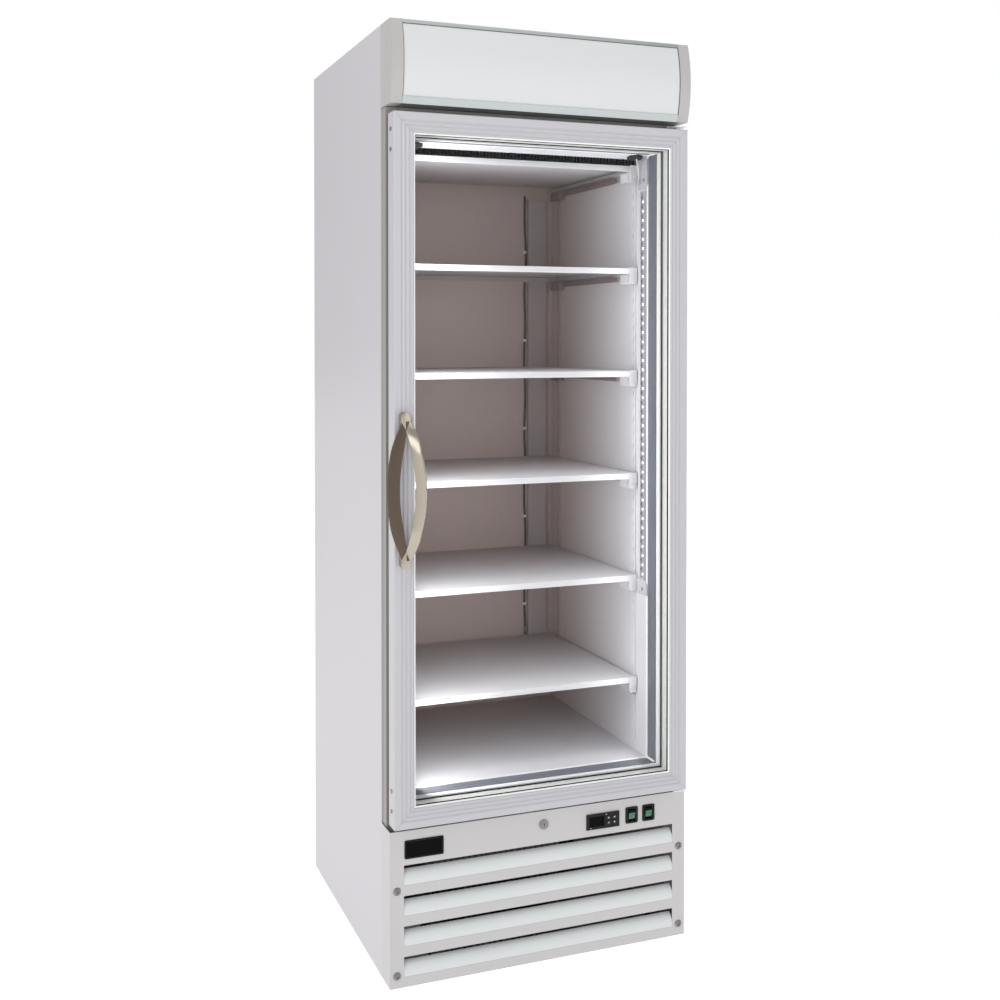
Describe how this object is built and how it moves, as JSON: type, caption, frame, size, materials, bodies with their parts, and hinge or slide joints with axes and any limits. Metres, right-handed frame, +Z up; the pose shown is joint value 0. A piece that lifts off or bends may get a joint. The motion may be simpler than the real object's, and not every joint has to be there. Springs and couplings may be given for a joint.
{
  "type": "glass door merchandiser",
  "caption": "Upright insulated display freezer with one framed glass door, lit canopy, inner shelves and a louvred machine base.",
  "frame": {"origin": "on the floor, under the centre of the overall box", "axes": "+Z up, +Y from the door to the back, +X to the right of a person facing the door"},
  "size_m": [0.6936, 0.7336, 1.99],
  "materials": {
    "panel_paint": "satin",
    "base_paint": "satin",
    "liner_white": "satin",
    "jamb_grey": "satin",
    "door_frame": "satin",
    "foam": "matte",
    "white_plastic": "satin",
    "canopy_film": "gloss",
    "trim_metal": "satin",
    "black_plastic": "satin",
    "gloss_black": "gloss",
    "button_grey": "satin",
    "rocker_green": "gloss",
    "gasket_white": "matte",
    "glass": "gloss",
    "spacer_metal": "satin",
    "nickel": "satin",
    "steel": "satin",
    "galvanised": "satin",
    "chrome": "polished",
    "fin_metal": "satin",
    "copper": "satin",
    "black_metal": "satin",
    "mount_rubber": "matte",
    "lamp_white": "gloss",
    "nylon": "satin"
  },
  "bodies": {
    "cabinet": {"side_panels": "panel_paint", "back_and_top_panels": "panel_paint", "base_pan": "galvanised", "insulation_foam": "foam", "liner": "liner_white", "front_jamb": "jamb_grey", "duct_panel": "liner_white", "air_grille": "black_plastic", "evaporator_coil": "fin_metal", "evaporator_fan_motor": "steel", "led_strips": "white_plastic", "cable_grommets": "black_plastic", "shelf_1": "liner_white", "shelf_2": "liner_white", "shelf_3": "liner_white", "shelf_4": "liner_white", "shelf_5": "liner_white", "shelf_clips": "white_plastic", "shelf_pilasters": "liner_white", "inner_cables": "mount_rubber", "canopy_caps": "panel_paint", "canopy_panel": "canopy_film", "canopy_trims": "trim_metal", "canopy_back": "liner_white", "canopy_lamp": "lamp_white", "base_panel": "base_paint", "louvres": "base_paint", "panel_screws": "steel", "nameplate": "gloss_black", "lock_housing": "chrome", "controller_case": "black_plastic", "controller_window": "gloss_black", "switch_housings": "black_plastic", "levelling_feet": "black_metal", "compressor": "black_metal", "compressor_mounts": "mount_rubber", "condenser_coil": "fin_metal", "condenser_fan_motor": "steel", "refrigerant_lines": "copper", "drain_pan": "galvanised", "power_inlet": "black_plastic", "hinge_brackets": "panel_paint"},
    "door": {"door_stiles": "door_frame", "door_rails": "door_frame", "door_glass": "glass", "glass_spacer": "spacer_metal", "glazing_beads": "white_plastic", "door_gasket": "gasket_white", "door_screws": "steel", "door_handle": "nickel", "hinge_bushes": "nylon"},
    "lock": {"lock_plug": "chrome"},
    "set_key": {"set_button": "button_grey"},
    "up_key": {"up_button": "button_grey"},
    "down_key": {"down_button": "button_grey"},
    "defrost_key": {"defrost_button": "button_grey"},
    "light_switch": {"light_rocker": "rocker_green"},
    "power_switch": {"power_rocker": "rocker_green"},
    "condenser_rotor": {"condenser_fan": "black_plastic"},
    "evaporator_rotor": {"evaporator_fan": "black_plastic"}
  },
  "joints": [
    {"name": "door_hinge", "type": "hinge", "parent": "cabinet", "child": "door", "pos_m": [0.3288, -0.29016, 1.0765], "axis": [0, 0, 1], "range_deg": [0, 110], "stiffness_Nm_per_rad": 0.6, "springref_deg": -20.05},
    {"name": "lock_turn", "type": "hinge", "parent": "cabinet", "child": "lock", "pos_m": [0.0068, -0.28516, 0.312], "axis": [0, -1, 0], "range_deg": [0, 90]},
    {"name": "set_press", "type": "slide", "parent": "cabinet", "child": "set_key", "axis": [0, 1, 0], "range_m": [0, 0.0005], "stiffness_N_per_m": 400},
    {"name": "up_press", "type": "slide", "parent": "cabinet", "child": "up_key", "axis": [0, 1, 0], "range_m": [0, 0.0005], "stiffness_N_per_m": 400},
    {"name": "down_press", "type": "slide", "parent": "cabinet", "child": "down_key", "axis": [0, 1, 0], "range_m": [0, 0.0005], "stiffness_N_per_m": 400},
    {"name": "defrost_press", "type": "slide", "parent": "cabinet", "child": "defrost_key", "axis": [0, 1, 0], "range_m": [0, 0.0005], "stiffness_N_per_m": 400},
    {"name": "light_rock", "type": "hinge", "parent": "cabinet", "child": "light_switch", "pos_m": [0.2158, -0.28616, 0.304], "axis": [1, 0, 0], "range_deg": [-24, 0]},
    {"name": "power_rock", "type": "hinge", "parent": "cabinet", "child": "power_switch", "pos_m": [0.2568, -0.28616, 0.304], "axis": [1, 0, 0], "range_deg": [-24, 0]},
    {"name": "condenser_fan_spin", "type": "hinge", "parent": "cabinet", "child": "condenser_rotor", "pos_m": [-0.0832, -0.13716, 0.176], "axis": [0, 1, 0], "continuous": true},
    {"name": "evaporator_fan_spin", "type": "hinge", "parent": "cabinet", "child": "evaporator_rotor", "pos_m": [0.0068, -0.04316, 1.834], "axis": [0, 1, 0], "continuous": true}
  ]
}
